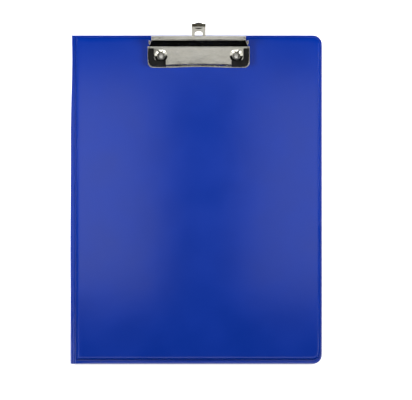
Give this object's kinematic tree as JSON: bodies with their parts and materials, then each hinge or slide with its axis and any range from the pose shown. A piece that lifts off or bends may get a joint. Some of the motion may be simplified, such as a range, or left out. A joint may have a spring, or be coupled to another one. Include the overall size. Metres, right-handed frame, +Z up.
{
  "type": "clipboard folder",
  "caption": "Fold-over clipboard folder for A4 paper, cover folded behind the board, with a sprung metal clip and a pull-out hanging hook.",
  "frame": {"origin": "centre of the board panel, on the surface that the folded cover lies on", "axes": "+X across the board away from the spine, +Y along the board towards the clip and hanging hook, +Z up from the cover to the clip"},
  "size_m": [0.2454, 0.3328, 0.0178],
  "materials": {
    "pvc_liner": "royal blue PVC sheet, fine grain, soft sheen",
    "pvc_outer": "royal blue PVC sheet, fine grain, soft sheen",
    "greyboard": "raw greyboard",
    "chromed_steel": "bright nickel-chrome plate",
    "rivet_steel": "bright plated steel",
    "spring_steel": "drawn spring wire",
    "black_rubber": "black moulded rubber, satin"
  },
  "bodies": {
    "board": {"board_core": "greyboard", "board_back_skin": "pvc_outer", "board_liner": "pvc_liner", "clip_base_plate": "chromed_steel", "clip_rivets": "rivet_steel", "clip_axle": "chromed_steel", "clip_spring_left": "spring_steel", "clip_spring_right": "spring_steel"},
    "jaw": {"clip_jaw": "chromed_steel", "grip_left": "black_rubber", "grip_right": "black_rubber"},
    "hook": {"hanging_hook": "chromed_steel"},
    "spine_upper": {"spine_upper_liner": "pvc_liner", "spine_upper_skin": "pvc_outer"},
    "spine_lower": {"spine_lower_liner": "pvc_liner", "spine_lower_skin": "pvc_outer"},
    "cover": {"cover_core": "greyboard", "cover_outer_skin": "pvc_outer", "cover_liner": "pvc_liner", "cover_pocket": "pvc_liner"}
  },
  "joints": [
    {"name": "jaw_hinge", "type": "hinge", "parent": "board", "child": "jaw", "pos_m": [0, 0.1521, 0.0099], "axis": [-1, 0, 0], "range_deg": [0, 24], "stiffness_Nm_per_rad": 0.5, "springref_deg": -17.19, "deforming": ["clip_spring_left", "clip_spring_right"]},
    {"name": "hook_slide", "type": "slide", "parent": "board", "child": "hook", "axis": [0, -1, 0], "range_m": [0, 0.012]},
    {"name": "spine_board_crease", "type": "hinge", "parent": "board", "child": "spine_upper", "pos_m": [-0.12, 0, 0.0044], "axis": [0, 1, 0], "range_deg": [0, 90]},
    {"name": "spine_fold", "type": "hinge", "parent": "spine_upper", "child": "spine_lower", "pos_m": [-0.1254, 0, 0.00335], "axis": [0, 1, 0], "range_deg": [0, 180]},
    {"name": "spine_cover_crease", "type": "hinge", "parent": "spine_lower", "child": "cover", "pos_m": [-0.12, 0, 0.0023], "axis": [0, 1, 0], "range_deg": [0, 82.5]}
  ]
}
